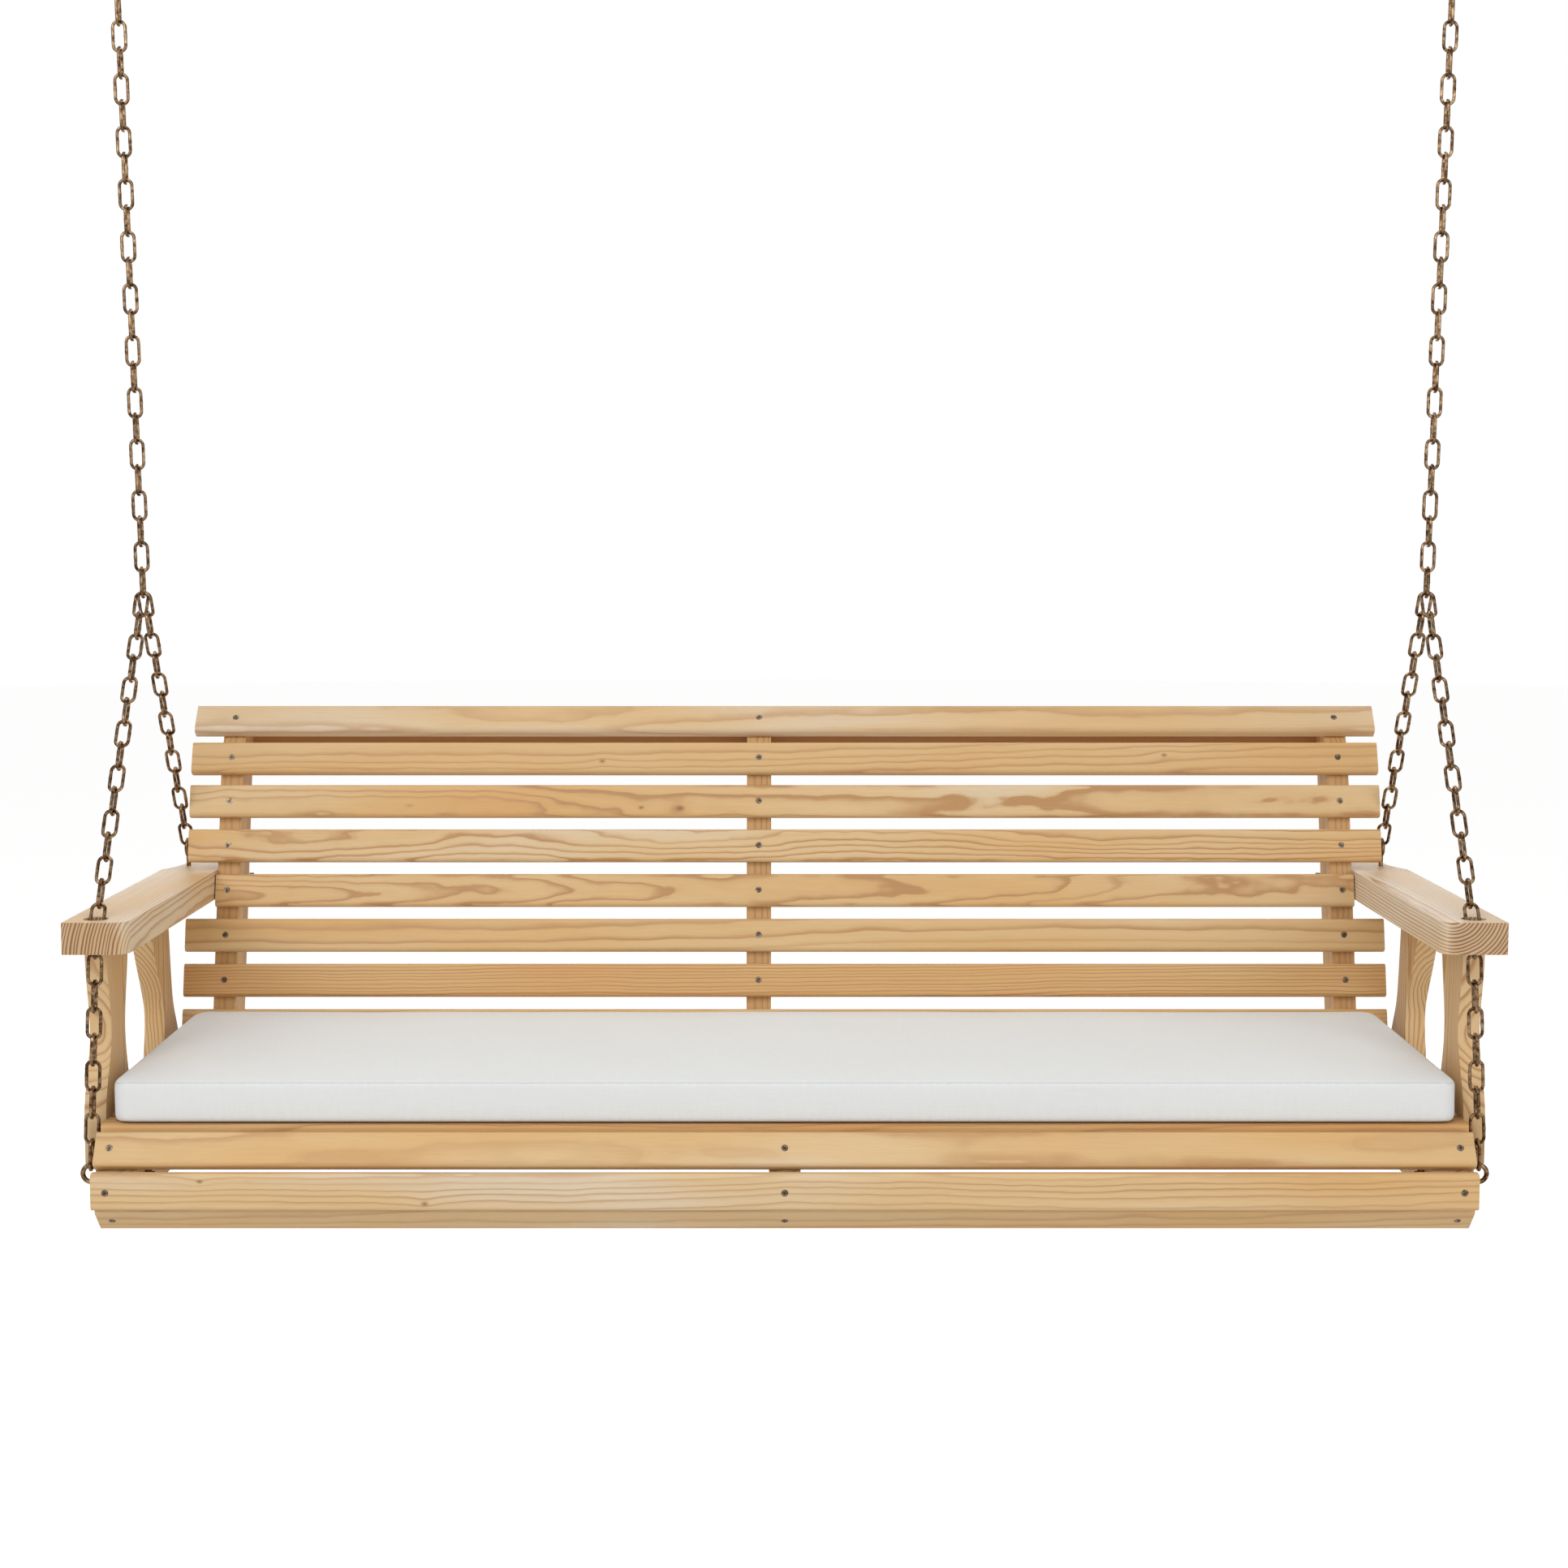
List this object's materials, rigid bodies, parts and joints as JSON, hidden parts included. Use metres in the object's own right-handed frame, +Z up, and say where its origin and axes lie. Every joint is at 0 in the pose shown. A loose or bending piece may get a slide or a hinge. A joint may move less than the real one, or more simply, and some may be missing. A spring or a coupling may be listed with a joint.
{
  "type": "porch swing",
  "caption": "Roll-back slatted pine porch swing with flat arms, shaped arm posts, box seat cushion and forked hanging chains for a ceiling.",
  "frame": {"origin": "on the ceiling plane, midway between the two ceiling screw eyes", "axes": "+Z up into the ceiling, the seat faces -Y, +X to the right of someone who looks at the front of the swing"},
  "size_m": [1.7174, 0.629, 1.733],
  "materials": {
    "pine": "matte",
    "bronzed_steel": "satin",
    "zinc_screw": "satin",
    "cushion_fabric": "matte"
  },
  "bodies": {
    "ceiling_hooks": {"ceiling_hook_left": "bronzed_steel", "ceiling_hook_right": "bronzed_steel"},
    "upper_chain_left": {"hanging_chain_left": "bronzed_steel"},
    "upper_chain_right": {"hanging_chain_right": "bronzed_steel"},
    "seat": {"back_slat_1": "pine", "back_slat_2": "pine", "back_slat_3": "pine", "back_slat_4": "pine", "back_slat_5": "pine", "back_slat_6": "pine", "back_slat_7": "pine", "back_slat_8": "pine", "seat_slat_1": "pine", "seat_slat_2": "pine", "seat_slat_3": "pine", "seat_slat_4": "pine", "seat_slat_5": "pine", "seat_slat_6": "pine", "seat_slat_7": "pine", "front_slat_upper": "pine", "front_slat_middle": "pine", "front_slat_lower": "pine", "seat_stringer_left": "pine", "seat_stringer_centre": "pine", "seat_stringer_right": "pine", "back_stringer_left": "pine", "back_stringer_centre": "pine", "back_stringer_right": "pine", "back_top_rail": "pine", "arm_left": "pine", "arm_right": "pine", "arm_post_front_left": "pine", "arm_post_front_right": "pine", "arm_post_rear_left": "pine", "arm_post_rear_right": "pine", "arm_dowels": "pine", "front_eye_bolt_left": "bronzed_steel", "front_eye_bolt_right": "bronzed_steel", "rear_eye_bolt_left": "bronzed_steel", "rear_eye_bolt_right": "bronzed_steel", "eye_bolt_nuts": "bronzed_steel", "eye_bolt_washers": "bronzed_steel", "front_chain_left": "bronzed_steel", "front_chain_right": "bronzed_steel", "back_chain_left": "bronzed_steel", "back_chain_right": "bronzed_steel", "back_slat_screws": "zinc_screw", "seat_slat_screws": "zinc_screw", "front_slat_screws": "zinc_screw", "top_rail_screws": "zinc_screw", "arm_lag_screws": "zinc_screw", "frame_bolts": "zinc_screw", "frame_bolt_nuts": "zinc_screw", "frame_bolt_washers": "zinc_screw", "seat_cushion": "cushion_fabric"}
  },
  "joints": [
    {"name": "left_chain_swing", "type": "hinge", "parent": "ceiling_hooks", "child": "upper_chain_left", "pos_m": [-0.838, 0, -0.0428], "axis": [1, 0, 0], "range_deg": [-25, 25]},
    {"name": "right_chain_swing", "type": "hinge", "parent": "ceiling_hooks", "child": "upper_chain_right", "pos_m": [0.838, 0, -0.0428], "axis": [1, 0, 0], "range_deg": [-25, 25]},
    {"name": "seat_rock", "type": "hinge", "parent": "upper_chain_left", "child": "seat", "pos_m": [-0.8205, 0, -0.91], "axis": [1, 0, 0], "range_deg": [-12, 12]}
  ],
  "couplings": [
    {"joint": "right_chain_swing", "follows": "left_chain_swing", "ratio": 1}
  ]
}
